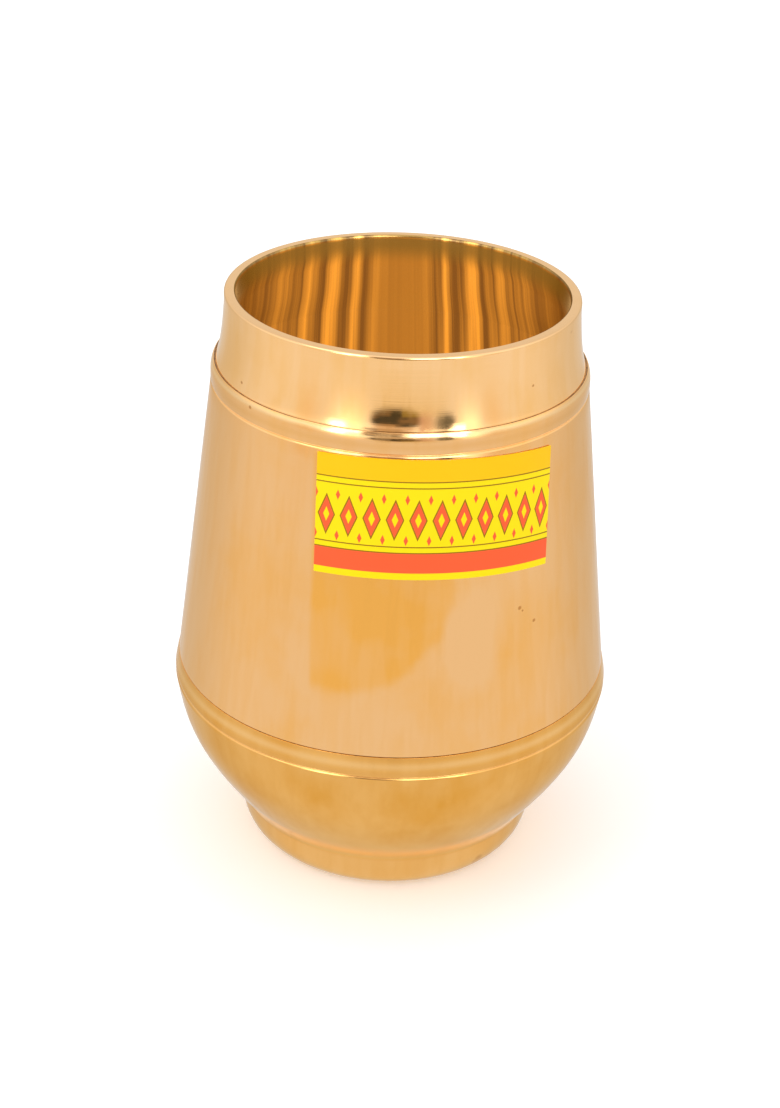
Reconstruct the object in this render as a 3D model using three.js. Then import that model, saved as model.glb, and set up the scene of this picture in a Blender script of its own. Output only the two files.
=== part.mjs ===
// Polished bronze drinking tumbler: a narrow mouth, a conical wall, a round belly and a small foot.
// Three spun shells and a foot ring lap into each other, and a film of braze fills each lap.
// Sizes are in millimetres. The foot stands on z = 0, the cup's axis is +Z, and its label faces -Y.

import * as THREE from "three";

// Heights of the visible bands, from the table up
const FOOT_HEIGHT = 6.8;
const BOWL_RISE = 24.4;
const BELLY_BEAD_HEIGHT = 3.55;
const WALL_RISE = 50.2;
const SHOULDER_BEAD_HEIGHT = 3.55;
const NECK_RISE = 11.5;

// Outside radii, and how much narrower than the shoulder the mouth is
const FOOT_RIM_RADIUS = 22.5;
const WAIST_RADIUS = 26;
const BELLY_RADIUS = 37.5;
const SHOULDER_RADIUS = 30.95;
const NECK_TAPER = 2.25;

// Thicknesses
const WALL = 1.5;
const FLOOR_THICKNESS = 1.5;
const LIP_THICKNESS = 1.9;
const FOOT_WALL = 1.8;

// The foot: a short leaning collar under the waist, with its rounded side below
const FOOT_COLLAR_HEIGHT = 1.8;
const FOOT_COLLAR_LEAN = 0.1;

// Lap joints: each upper shell has a tongue that stands in the socket of the shell below.
// The lap share is how much of the wall, less the film of braze, is left outside a socket, and the
// socket land is the flat edge round a socket's mouth.
const LAP_DEPTH = 3;
const LAP_SHARE = 0.445;
const SOCKET_LAND = 0.1;
const BRAZE_FILM = 0.2;
const SEAT_GAP = 0.02;

// The bowl's spigot, which stands in the foot's own socket
const SPIGOT_DEPTH = 2.2;
const SPIGOT_CORNER = 0.5;
const FOOT_SOCKET_LIP = 1.1;
const FLOOR_SEAT = 1.4;

// Turned lines and roundings
const LINE_DEPTH = 0.3;
const LINE_HEIGHT = 0.7;
const SEAM_STEP = 0.5;
const SEAM_CHAMFER = 0.15;
const LIP_ROUND = 0.5;
const WAIST_FILLET_HEIGHT = 2.2;
const WAIST_FILLET_REACH = 1.3;

// Beads: each has an upright foot over its turned line, and then a curve in to its socket that is
// pulled out towards a point under the seam
const SHOULDER_BEAD_FOOT = 1.4;
const SHOULDER_BEAD_PULL = 0.75;
const BELLY_BEAD_FOOT = 0.3;
const BELLY_BEAD_PULL = 1.9;
const BELLY_BEAD_TAPER = 0.15;

// The rounded corner between the cup's floor and its bowl
const FLOOR_CORNER_HEIGHT = 5;
const FLOOR_CORNER_LEAN = 3;
const FLOOR_CORNER_REACH = 8;

// The neck: an upright band and a thick bore under the rim, and a flare that leans in from the seam
const LIP_BAND = 1.6;
const LIP_BORE_DEPTH = 3.3;
const FLARE_BEND = 2.6;
const FLARE_LEAN = 1.05;

// The paper label, wrapped on the conical wall
const LABEL_WIDTH = 39;
const LABEL_HEIGHT = 19.4;
const LABEL_THICKNESS = 0.12;
const ADHESIVE_THICKNESS = 0.06;
const ADHESIVE_MARGIN = 0.4;
const LABEL_DROP = 0.5;
const LABEL_BEARING = 12.5;
const LABEL_SKEW = 2;
const LABEL_STEPS = 16;

const SEGMENTS = 48;

// Heights and radii that follow from the sizes above
const waistZ = FOOT_HEIGHT;
const bellyLineZ = waistZ + BOWL_RISE;
const bellySeamZ = bellyLineZ + BELLY_BEAD_HEIGHT;
const shoulderLineZ = bellySeamZ + WALL_RISE;
const shoulderSeamZ = shoulderLineZ + SHOULDER_BEAD_HEIGHT;
const rimZ = shoulderSeamZ + NECK_RISE;

const bellyBeadRadius = BELLY_RADIUS - BELLY_BEAD_TAPER;
const wallFootRadius = bellyBeadRadius - SEAM_STEP;
const mouthRadius = SHOULDER_RADIUS - NECK_TAPER;
const lapClearance = BRAZE_FILM + 2 * SEAT_GAP;
const socketLip = (WALL - lapClearance) * LAP_SHARE;
const bellySocket = bellyBeadRadius - socketLip;
const shoulderSocket = SHOULDER_RADIUS - socketLip;
const footSocket = WAIST_RADIUS - FOOT_SOCKET_LIP;
const neckSeamRadius = shoulderSocket - lapClearance;
const bellyLedgeZ = bellySeamZ - LAP_DEPTH - lapClearance;
const shoulderLedgeZ = shoulderSeamZ - LAP_DEPTH - lapClearance;
const floorZ = waistZ - SPIGOT_DEPTH;
const footLedgeZ = floorZ - lapClearance;
const bowlInnerRadius = BELLY_RADIUS - WALL;
const shoulderInnerRadius = SHOULDER_RADIUS - WALL;
const seatInnerRadius = footSocket - FLOOR_SEAT;

const wallSlope = (wallFootRadius - SHOULDER_RADIUS) / WALL_RISE;
const wallAngle = Math.atan(wallSlope);

const bronze = new THREE.MeshStandardMaterial({ color: 0xedb873, roughness: 0.12, metalness: 1 });
const braze = new THREE.MeshStandardMaterial({ color: 0xb98a4c, roughness: 0.4, metalness: 1 });
const paper = new THREE.MeshStandardMaterial({ color: 0xf6a81c, roughness: 0.35, metalness: 0 });
const glue = new THREE.MeshStandardMaterial({ color: 0xe9e2c8, roughness: 0.5, metalness: 0 });

function point(radius, height) {
  return new THREE.Vector2(radius, height);
}

// A curve as points: quadratic for three controls, cubic for four.
function curve(steps, ...controls) {
  const made = controls.length === 3
    ? new THREE.QuadraticBezierCurve(...controls)
    : new THREE.CubicBezierCurve(...controls);
  return made.getPoints(steps);
}

// The same line moved inwards by the wall's thickness, square to the line.
function inset(points, thickness) {
  return points.map((at, i) => {
    const before = points[Math.max(i - 1, 0)];
    const after = points[Math.min(i + 1, points.length - 1)];
    const along = after.clone().sub(before).normalize();
    return point(at.x - along.y * thickness, at.y + along.x * thickness);
  });
}

// Turns an anticlockwise outline into a solid. One that starts on the axis also ends there.
function turned(name, outline, material) {
  const closed = outline[0].x === 0 ? outline : [...outline, outline[0].clone()];
  const mesh = new THREE.Mesh(new THREE.LatheGeometry(closed, SEGMENTS), material);
  mesh.name = name;
  return mesh;
}

// The wall's outside radius at a height between the belly seam and the shoulder line.
function wallRadius(height) {
  return wallFootRadius - (height - bellySeamZ) * wallSlope;
}

// A bead's outside: upwards from the bottom of the turned line under it to the mouth of its socket.
function beadFace(line, footHeight, pull, socketMouth) {
  const footZ = line.y + LINE_HEIGHT / 2;
  return [
    point(line.x - LINE_DEPTH, line.y),
    point(line.x, footZ),
    ...curve(
      6,
      point(line.x, footZ + footHeight),
      pull,
      point(socketMouth.x + SOCKET_LAND, socketMouth.y),
    ),
    socketMouth,
  ];
}

// The L-shaped film of braze that fills a lap, over its ledge and up its socket.
function brazeFilm(name, socketRadius, seamZ, ledgeZ, innerRadius) {
  const outside = socketRadius - SEAT_GAP;
  const low = ledgeZ + SEAT_GAP;
  const top = seamZ - SEAT_GAP;
  return turned(name, [
    point(innerRadius, low),
    point(outside, low),
    point(outside, top),
    point(outside - BRAZE_FILM, top),
    point(outside - BRAZE_FILM, low + BRAZE_FILM),
    point(innerRadius, low + BRAZE_FILM),
  ], braze);
}

// The foot ring: a rounded outside, a flat rim on the table and a socket for the bowl's spigot.
function footRing() {
  const roundTop = waistZ - FOOT_COLLAR_HEIGHT;
  const sideRadius = WAIST_RADIUS - FOOT_COLLAR_LEAN;
  const side = curve(
    7,
    point(FOOT_RIM_RADIUS, 0),
    point(sideRadius - (sideRadius - FOOT_RIM_RADIUS) / 8, roundTop / 4),
    point(sideRadius, roundTop),
  );
  const inside = inset(side, FOOT_WALL).filter((at) => at.y > 0 && at.y < footLedgeZ);
  return turned("foot_ring", [
    ...side,
    point(WAIST_RADIUS, waistZ),
    point(footSocket, waistZ),
    point(footSocket, footLedgeZ),
    point(seatInnerRadius, footLedgeZ),
    ...inside.reverse(),
    point(FOOT_RIM_RADIUS - FOOT_WALL, 0),
  ], bronze);
}

// The bowl's outside, upwards from the waist seam to the turned line under the belly bead.
function bowlOutside() {
  const filletTop = waistZ + WAIST_FILLET_HEIGHT;
  const filletRadius = WAIST_RADIUS + WAIST_FILLET_REACH;
  const reach = BELLY_RADIUS - filletRadius;
  const rise = bellyLineZ - filletTop;
  return [
    ...curve(
      3,
      point(WAIST_RADIUS, waistZ + SEAT_GAP),
      point(WAIST_RADIUS + WAIST_FILLET_REACH / 7, waistZ + WAIST_FILLET_HEIGHT / 3),
      point(filletRadius, filletTop),
    ),
    ...curve(
      11,
      point(filletRadius, filletTop),
      point(filletRadius + reach * 0.82, filletTop + rise * 0.5),
      point(filletRadius + reach * 0.88, filletTop + rise * 0.66),
      point(BELLY_RADIUS, bellyLineZ - LINE_HEIGHT / 2),
    ).slice(1),
  ];
}

// The bowl: a spigot for the foot, a round belly, a bead with a socket in it, and the cup's floor.
function bowlShell() {
  const outside = bowlOutside();
  const spigot = footSocket - lapClearance;
  const floorTop = floorZ + FLOOR_THICKNESS;
  const cornerTop = floorTop + FLOOR_CORNER_HEIGHT;
  const inside = inset(outside, WALL).filter((at) => at.y > cornerTop && at.y < bellyLedgeZ);
  const corner = inside[0];
  return turned("bowl_shell", [
    point(0, floorZ),
    point(spigot - SPIGOT_CORNER, floorZ),
    point(spigot, floorZ + SPIGOT_CORNER),
    point(spigot, waistZ + SEAT_GAP),
    ...outside,
    ...beadFace(
      point(BELLY_RADIUS, bellyLineZ),
      BELLY_BEAD_FOOT,
      point(bellyBeadRadius, bellySeamZ - BELLY_BEAD_PULL),
      point(bellySocket, bellySeamZ),
    ),
    point(bellySocket, bellyLedgeZ),
    point(bowlInnerRadius, bellyLedgeZ),
    ...inside.slice(1).reverse(),
    ...curve(
      5,
      corner,
      point(corner.x - FLOOR_CORNER_LEAN, floorTop),
      point(corner.x - FLOOR_CORNER_REACH, floorTop),
    ),
    point(0, floorTop),
  ], bronze);
}

// The wall: a cone with a tongue below, for the belly socket, and the shoulder bead above.
function bodyShell() {
  const tongue = bellySocket - lapClearance;
  const tongueZ = bellySeamZ - LAP_DEPTH;
  const wallInset = WALL / Math.cos(wallAngle);
  const seatZ = bellySeamZ + SEAT_GAP;
  const chamferZ = seatZ + SEAM_CHAMFER;
  const wallTopZ = shoulderLineZ - LINE_HEIGHT / 2;
  return turned("body_shell", [
    point(bowlInnerRadius, tongueZ),
    point(tongue, tongueZ),
    point(tongue, seatZ),
    point(wallRadius(seatZ) - SEAM_CHAMFER, seatZ),
    point(wallRadius(chamferZ), chamferZ),
    point(wallRadius(wallTopZ), wallTopZ),
    ...beadFace(
      point(SHOULDER_RADIUS, shoulderLineZ),
      SHOULDER_BEAD_FOOT,
      point(SHOULDER_RADIUS, shoulderSeamZ - SHOULDER_BEAD_PULL),
      point(shoulderSocket, shoulderSeamZ),
    ),
    point(shoulderSocket, shoulderLedgeZ),
    point(shoulderInnerRadius, shoulderLedgeZ),
    point(wallRadius(seatZ) - wallInset, seatZ),
  ], bronze);
}

// The neck's outside, upwards from its seam to the lip.
function neckOutside() {
  return curve(
    6,
    point(neckSeamRadius, shoulderSeamZ),
    point(neckSeamRadius - FLARE_LEAN, shoulderSeamZ + FLARE_BEND),
    point(mouthRadius, rimZ - LIP_BAND),
  );
}

// The neck: a tongue for the shoulder socket, a hollow flare, and the thick rounded lip.
function neckCollar() {
  const tongueZ = shoulderSeamZ - LAP_DEPTH;
  const outside = neckOutside();
  const bore = mouthRadius - LIP_THICKNESS;
  const boreFootZ = rimZ - LIP_BORE_DEPTH;
  const flare = inset(outside, WALL);
  const inside = flare.filter((at) => at.y > shoulderSeamZ && at.y < boreFootZ - LIP_THICKNESS);
  return turned("neck_collar", [
    point(shoulderInnerRadius, tongueZ),
    point(neckSeamRadius, tongueZ),
    ...outside,
    ...curve(
      3,
      point(mouthRadius, rimZ - LIP_ROUND),
      point(mouthRadius, rimZ),
      point(mouthRadius - LIP_ROUND, rimZ),
    ),
    ...curve(3, point(bore + LIP_ROUND, rimZ), point(bore, rimZ), point(bore, rimZ - LIP_ROUND)),
    point(bore, boreFootZ),
    ...inside.reverse(),
  ], bronze);
}

// Wraps a flat sheet on the conical wall: u runs round the cup, v up the wall, and w outwards.
function wrapOnWall(u, v, w) {
  const skew = THREE.MathUtils.degToRad(LABEL_SKEW);
  const across = u * Math.cos(skew) + v * Math.sin(skew);
  const up = v * Math.cos(skew) - u * Math.sin(skew);
  const centreZ = shoulderLineZ - LABEL_DROP - LABEL_HEIGHT / 2;
  const slant = wallRadius(centreZ) / Math.sin(wallAngle);
  const reach = Math.hypot(across, slant - up);
  const turn = Math.atan2(across, slant - up) / Math.sin(wallAngle);
  const bearing = turn + THREE.MathUtils.degToRad(LABEL_BEARING);
  const radius = reach * Math.sin(wallAngle) + w * Math.cos(wallAngle);
  const height = centreZ + (slant - reach) * Math.cos(wallAngle) + w * Math.sin(wallAngle);
  return new THREE.Vector3(radius * Math.sin(bearing), height, radius * Math.cos(bearing));
}

// A thin sheet on the wall, standing off it by lift.
function wrappedSheet(name, width, height, lift, thickness, material) {
  const sheet = new THREE.BoxGeometry(width, height, thickness, LABEL_STEPS, 2, 1);
  const places = sheet.getAttribute("position");
  for (let i = 0; i < places.count; i += 1) {
    const w = places.getZ(i) + thickness / 2 + lift;
    const at = wrapOnWall(places.getX(i), places.getY(i), w);
    places.setXYZ(i, at.x, at.y, at.z);
  }
  const mesh = new THREE.Mesh(sheet, material);
  mesh.name = name;
  return mesh;
}

// The printed paper and the adhesive behind it.
function label() {
  const group = new THREE.Group();
  const glueLift = 2 * SEAT_GAP;
  const paperLift = glueLift + ADHESIVE_THICKNESS + 2 * SEAT_GAP;
  const margin = 2 * ADHESIVE_MARGIN;
  group.add(
    wrappedSheet("label_adhesive", LABEL_WIDTH - margin, LABEL_HEIGHT - margin, glueLift,
      ADHESIVE_THICKNESS, glue),
    wrappedSheet("label_face", LABEL_WIDTH, LABEL_HEIGHT, paperLift, LABEL_THICKNESS, paper),
  );
  return group;
}

const tumbler = new THREE.Group();
tumbler.add(
  neckCollar(),
  bodyShell(),
  bowlShell(),
  footRing(),
  brazeFilm("neck_braze", shoulderSocket, shoulderSeamZ, shoulderLedgeZ, shoulderInnerRadius),
  brazeFilm("belly_braze", bellySocket, bellySeamZ, bellyLedgeZ, bowlInnerRadius),
  brazeFilm("foot_braze", footSocket, waistZ, footLedgeZ, seatInnerRadius),
  label(),
);
tumbler.rotation.x = Math.PI / 2;

export default tumbler;
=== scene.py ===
"""Bronze drinking tumbler: brazed turned shells on a small foot, with a paper label, in a white studio."""

import logging
import math
from dataclasses import dataclass, field
from enum import Enum
from typing import Any

import bmesh
import bpy
from mathutils import Matrix, Vector
from mathutils.geometry import interpolate_bezier


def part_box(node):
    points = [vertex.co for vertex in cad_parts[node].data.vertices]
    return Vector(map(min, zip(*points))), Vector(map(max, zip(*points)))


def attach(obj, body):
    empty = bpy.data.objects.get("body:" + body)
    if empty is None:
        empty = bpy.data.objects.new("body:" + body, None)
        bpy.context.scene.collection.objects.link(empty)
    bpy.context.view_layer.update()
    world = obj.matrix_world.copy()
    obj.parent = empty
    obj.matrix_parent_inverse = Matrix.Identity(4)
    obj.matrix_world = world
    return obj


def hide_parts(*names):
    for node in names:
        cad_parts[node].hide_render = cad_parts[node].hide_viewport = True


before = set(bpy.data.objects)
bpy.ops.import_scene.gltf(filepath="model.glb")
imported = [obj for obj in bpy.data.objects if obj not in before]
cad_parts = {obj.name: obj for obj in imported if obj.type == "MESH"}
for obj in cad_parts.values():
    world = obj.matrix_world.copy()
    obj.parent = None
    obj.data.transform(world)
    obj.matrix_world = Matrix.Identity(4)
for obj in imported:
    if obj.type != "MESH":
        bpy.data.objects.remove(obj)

log = logging.getLogger("tumbler")

MM = 0.001
TURN_STEPS = 192
MERGE_DISTANCE = 0.0005 * MM
LOOKS_IN = -0.35
LOOKS_UP = 0.9
Color = tuple[float, float, float, float]
Feed = bpy.types.NodeSocket | float | tuple[float, ...]
Inputs = dict[str | int, Feed]
BLACK: Color = (0.0, 0.0, 0.0, 1.0)


def tint(red: int, green: int, blue: int) -> Color:
    """Turns a display colour of 0 to 255 a channel into the linear colour that shaders take.

    Args:
        red: The red channel.
        green: The green channel.
        blue: The blue channel.

    Returns:
        The linear colour, fully opaque.
    """
    shares = [channel / 255 for channel in (red, green, blue)]
    linear = [s / 12.92 if s <= 0.04045 else ((s + 0.055) / 1.055) ** 2.4 for s in shares]
    return (linear[0], linear[1], linear[2], 1.0)


# Outlines and turning


class Outline:
    """A line in the plane of radius and height, from which a shell is turned."""

    def __init__(self, radius: float, height: float) -> None:
        """Starts the line at one point."""
        self.points: list[Vector] = [Vector((radius, 0, height))]

    def to(self, radius: float, height: float) -> "Outline":
        """Goes straight to a point."""
        self.points.append(Vector((radius, 0, height)))
        return self

    def curve(self, steps: int, *controls: tuple[float, float]) -> "Outline":
        """Goes along a smooth curve, from where the line is.

        Args:
            steps: How many straight steps the curve is made of.
            controls: One or two pulling points, and then the curve's end.

        Returns:
            The same line.
        """
        start = self.points[-1]
        *pulls, end = [Vector((radius, 0, height)) for radius, height in controls]
        if len(pulls) == 1:
            handles = [start.lerp(pulls[0], 2 / 3), end.lerp(pulls[0], 2 / 3)]
        else:
            handles = pulls
        made = interpolate_bezier(start, handles[0], handles[1], end, steps + 1)
        self.points.extend(made[1:])
        return self

    def through(self, points: list[Vector]) -> "Outline":
        """Goes through every point of a list."""
        self.points.extend(points)
        return self


def inset(points: list[Vector], thickness: float) -> list[Vector]:
    """Moves a line inwards by a wall's thickness, square to itself.

    Args:
        points: The wall's outside, upwards.
        thickness: The wall's thickness.

    Returns:
        The wall's inside, upwards.
    """
    moved = []
    for index, at in enumerate(points):
        before = points[max(index - 1, 0)]
        after = points[min(index + 1, len(points) - 1)]
        along = (after - before).normalized()
        moved.append(at + Vector((-along.z, 0, along.x)) * thickness)
    return moved


class Side(Enum):
    """Which of a shell's two finishes a face shows."""

    OUTSIDE = 0
    INSIDE = 1


def side_of(face: bmesh.types.BMFace, floor_limit: float) -> Side:
    """Tells the inside of the cup from its outside.

    Args:
        face: A face of a turned shell.
        floor_limit: The height under which a face that looks up is the cup's floor.

    Returns:
        The side that the face is on.
    """
    centre = face.calc_center_median()
    out = Vector((centre.x, centre.y, 0.0)).normalized()
    looks_in = face.normal.dot(out) < LOOKS_IN
    is_floor = face.normal.z > LOOKS_UP and centre.z < floor_limit
    return Side.INSIDE if (looks_in and centre.z > floor_limit) or is_floor else Side.OUTSIDE


def turned(name: str, outline: Outline, floor_limit: float = 0.0) -> bpy.types.Object:
    """Turns an outline round the upright axis into a closed shell.

    Args:
        name: The piece's name.
        outline: The outline, closed on itself unless it starts and ends on the axis.
        floor_limit: The height under which a face that looks up is the cup's floor.

    Returns:
        The piece.
    """
    shell = bmesh.new()
    corners = [shell.verts.new(at) for at in outline.points]
    edges = [shell.edges.new(pair) for pair in zip(corners, corners[1:])]
    if outline.points[0].x > 0:
        edges.append(shell.edges.new((corners[-1], corners[0])))
    bmesh.ops.spin(shell, geom=corners + edges, cent=(0, 0, 0), axis=(0, 0, 1), dvec=(0, 0, 0),
                   angle=math.tau, steps=TURN_STEPS, use_merge=True)
    bmesh.ops.remove_doubles(shell, verts=shell.verts, dist=MERGE_DISTANCE)
    bmesh.ops.recalc_face_normals(shell, faces=shell.faces)
    for face in shell.faces:
        face.material_index = side_of(face, floor_limit).value
    return piece_from(name, shell)


def piece_from(name: str, made: bmesh.types.BMesh, sharp: float = 32.0) -> bpy.types.Object:
    """Makes a smooth-shaded piece that keeps its sharp edges.

    Args:
        name: The piece's name.
        made: The mesh, which is freed here.
        sharp: The angle in degrees past which an edge stays sharp.

    Returns:
        The piece, linked into the scene.
    """
    limit = math.radians(sharp)
    for face in made.faces:
        face.smooth = True
    for edge in made.edges:
        edge.smooth = len(edge.link_faces) == 2 and edge.calc_face_angle(0.0) < limit
    mesh = bpy.data.meshes.new(name)
    made.to_mesh(mesh)
    made.free()
    piece = bpy.data.objects.new(name, mesh)
    bpy.context.scene.collection.objects.link(piece)
    return piece


# Shader trees


class Shader:
    """A node tree with short calls that add nodes and join them."""

    def __init__(self, tree: bpy.types.NodeTree) -> None:
        """Starts from a tree that is emptied first."""
        self.tree = tree
        tree.nodes.clear()

    def add(self, kind: str, inputs: Inputs | None = None, **settings: Any) -> bpy.types.Node:
        """Adds a node.

        Args:
            kind: The node's type.
            inputs: Its inputs by name or number, each a plain value or another node's output.
            settings: The node's own settings.

        Returns:
            The node.
        """
        node = self.tree.nodes.new(kind)
        for key, value in settings.items():
            setattr(node, key, value)
        for key, value in (inputs or {}).items():
            if isinstance(value, bpy.types.NodeSocket):
                self.tree.links.new(value, node.inputs[key])
            else:
                node.inputs[key].default_value = value
        return node

    def math(self, operation: str, *values: Feed, clamp: bool = False) -> bpy.types.NodeSocket:
        """Adds a math node and gives its result."""
        inputs = dict(enumerate(values))
        return self.add("ShaderNodeMath", inputs, operation=operation, use_clamp=clamp).outputs[0]

    def blend(self, share: Feed, low: Feed, high: Feed) -> bpy.types.NodeSocket:
        """Mixes two colours by a share of 0 to 1 and gives the colour."""
        inputs = {0: share, 6: low, 7: high}
        return self.add("ShaderNodeMix", inputs, data_type="RGBA").outputs[2]

    def between(self, share: Feed, low: Feed, high: Feed) -> bpy.types.NodeSocket:
        """Mixes two values by a share of 0 to 1 and gives the value."""
        return self.add("ShaderNodeMix", {0: share, 2: low, 3: high}).outputs[0]

    def ramp(self, value: Feed, low: Feed, high: Feed, start: float = 0.0,
             end: float = 1.0) -> bpy.types.NodeSocket:
        """Maps a range of values smoothly onto another.

        Args:
            value: The value to map.
            low: The value that gives start.
            high: The value that gives end.
            start: The result at low.
            end: The result at high.

        Returns:
            The mapped value.
        """
        inputs = {"Value": value, 1: low, 2: high, 3: start, 4: end}
        return self.add("ShaderNodeMapRange", inputs, interpolation_type="SMOOTHSTEP").outputs[0]

    def place(self, **settings: Feed) -> bpy.types.NodeSocket:
        """Gives the piece's own coordinates through a mapping."""
        coordinates = self.add("ShaderNodeTexCoord").outputs["Object"]
        inputs = {"Vector": coordinates} | settings
        return self.add("ShaderNodeMapping", inputs).outputs[0]

    def along(self, axis: str) -> bpy.types.NodeSocket:
        """Gives the piece's own coordinate along X, Y or Z."""
        return self.add("ShaderNodeSeparateXYZ", {0: self.place()}).outputs[axis]

    def vector(self, operation: str, *values: Feed) -> bpy.types.Node:
        """Adds a vector node."""
        return self.add("ShaderNodeVectorMath", dict(enumerate(values)), operation=operation)

    def from_axis(self) -> bpy.types.NodeSocket:
        """Gives the way out from the upright axis to the place."""
        return self.place(Scale=(1.0, 1.0, 0.0))

    def noise(self, place: Feed, scale: Feed, detail: float = 2.0, roughness: float = 0.5,
              distortion: float = 0.0) -> bpy.types.NodeSocket:
        """Gives soft noise of 0 to 1 in space.

        Args:
            place: Where the noise is read.
            scale: How many spots there are in a unit of length.
            detail: How many finer layers lie over the first.
            roughness: How strong the finer layers are.
            distortion: How much the spots are pulled about.

        Returns:
            The noise.
        """
        inputs = {"Vector": place, "Scale": scale, "Detail": detail, "Roughness": roughness,
                  "Distortion": distortion}
        return self.add("ShaderNodeTexNoise", inputs).outputs[0]

    def noise_along(self, value: Feed, scale: Feed, detail: float,
                    roughness: float) -> bpy.types.NodeSocket:
        """Gives soft noise of 0 to 1 that changes along one value only."""
        inputs = {"W": value, "Scale": scale, "Detail": detail, "Roughness": roughness}
        return self.add("ShaderNodeTexNoise", inputs, noise_dimensions="1D").outputs[0]

    def group(self, tree: bpy.types.NodeTree,
              inputs: dict[str, float] | None = None) -> bpy.types.NodeSocket:
        """Places a shared effect and gives its mask or height."""
        return self.add("ShaderNodeGroup", inputs, node_tree=tree).outputs[0]

    def bump(self, height: bpy.types.NodeSocket, distance: float) -> bpy.types.NodeSocket:
        """Turns a height into a relief of a real depth, and gives its normal."""
        return self.add("ShaderNodeBump", {"Height": height, "Distance": distance}).outputs[0]

    def mirrored(self) -> bpy.types.NodeSocket:
        """Tells whether the surface is seen in another one."""
        return self.add("ShaderNodeLightPath").outputs["Is Glossy Ray"]

    def finish(self, shader: bpy.types.Node) -> None:
        """Joins the last shader to the material's output."""
        self.add("ShaderNodeOutputMaterial", {"Surface": shader.outputs[0]})

    def principled(self, inputs: Inputs) -> None:
        """Ends the material with a Principled shader."""
        self.finish(self.add("ShaderNodeBsdfPrincipled", inputs))


def new_group(name: str, inputs: dict[str, float], output: str) -> tuple[
        bpy.types.NodeTree, Shader, bpy.types.NodeOutputs]:
    """Starts a shader node group of plain values.

    Args:
        name: The group's name.
        inputs: Its inputs with their default values.
        output: Its one output.

    Returns:
        The group, its shader helper and the sockets that give its inputs.
    """
    tree = bpy.data.node_groups.new(name, "ShaderNodeTree")
    for label, value in inputs.items():
        socket = tree.interface.new_socket(label, in_out="INPUT", socket_type="NodeSocketFloat")
        socket.default_value = value
    tree.interface.new_socket(output, in_out="OUTPUT", socket_type="NodeSocketFloat")
    shader = Shader(tree)
    return tree, shader, shader.add("NodeGroupInput").outputs


def turning_lines_group() -> bpy.types.NodeTree:
    """Makes the fine rings that a turning tool leaves round the cup.

    Returns:
        A group that gives the rings as a height.
    """
    tree, shader, given = new_group("turning_lines", {"Lines per metre": 2500.0}, "Height")
    radius = shader.vector("LENGTH", shader.from_axis()).outputs["Value"]
    travel = shader.math("ADD", radius, shader.along("Z"))
    fine = shader.noise_along(travel, given["Lines per metre"], 2.0, 0.6)
    shader.add("NodeGroupOutput", {0: fine})
    return tree


def polish_streaks_group() -> bpy.types.NodeTree:
    """Makes the long soft upright streaks that a polishing cloth leaves.

    Returns:
        A group that gives the streaks as a mask, where 1 is a warm streak.
    """
    inputs = {"Streaks per metre": 420.0}
    tree, shader, given = new_group("polish_streaks", inputs, "Streak")
    drawn_out = shader.place(Scale=(1.0, 1.0, 0.07))
    wide = shader.noise(drawn_out, given["Streaks per metre"], 3.0, 0.55, 0.2)
    shader.add("NodeGroupOutput", {0: shader.ramp(wide, low=0.36, high=0.66)})
    return tree


def tarnish_group() -> bpy.types.NodeTree:
    """Makes soft clouds of warmer metal.

    Returns:
        A group that gives the clouds as a mask.
    """
    tree, shader, given = new_group("tarnish_clouds", {"Clouds per metre": 75.0}, "Cloud")
    place = shader.place(Scale=(1.0, 1.0, 0.8))
    cloud = shader.noise(place, given["Clouds per metre"], 5.0, 0.55)
    shader.add("NodeGroupOutput", {0: shader.ramp(cloud, low=0.42, high=0.7)})
    return tree


def patch_group() -> bpy.types.NodeTree:
    """Makes one rounded patch on the front of the cup, with a ragged edge of its own softness.

    Returns:
        A group that gives the patch as a mask.
    """
    inputs = {"X": 0.0, "Z": 0.05, "Width": 0.01, "Height": 0.01, "Softness": 0.1,
              "Ragged": 0.12, "Grains per metre": 260.0}
    tree, shader, given = new_group("front_patch", inputs, "Patch")
    across = shader.math("SUBTRACT", shader.along("X"), given["X"])
    across = shader.math("DIVIDE", across, given["Width"])
    up = shader.math("SUBTRACT", shader.along("Z"), given["Z"])
    up = shader.math("DIVIDE", up, given["Height"])
    square = shader.math("MULTIPLY", across, across)
    reach = shader.math("SQRT", shader.math("MULTIPLY_ADD", up, up, square))
    edge = shader.noise(shader.place(), given["Grains per metre"], 4.0, 0.6)
    reach = shader.math("MULTIPLY_ADD", edge, given["Ragged"], reach)
    middle = shader.math("MULTIPLY_ADD", given["Ragged"], 0.5, 1.0)
    inner = shader.math("SUBTRACT", middle, given["Softness"])
    outer = shader.math("ADD", middle, given["Softness"])
    front = shader.ramp(shader.along("Y"), low=-16 * MM, high=-8 * MM, start=1.0, end=0.0)
    patch = shader.ramp(reach, inner, outer, start=1.0, end=0.0)
    shader.add("NodeGroupOutput", {0: shader.math("MULTIPLY", patch, front)})
    return tree


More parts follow.
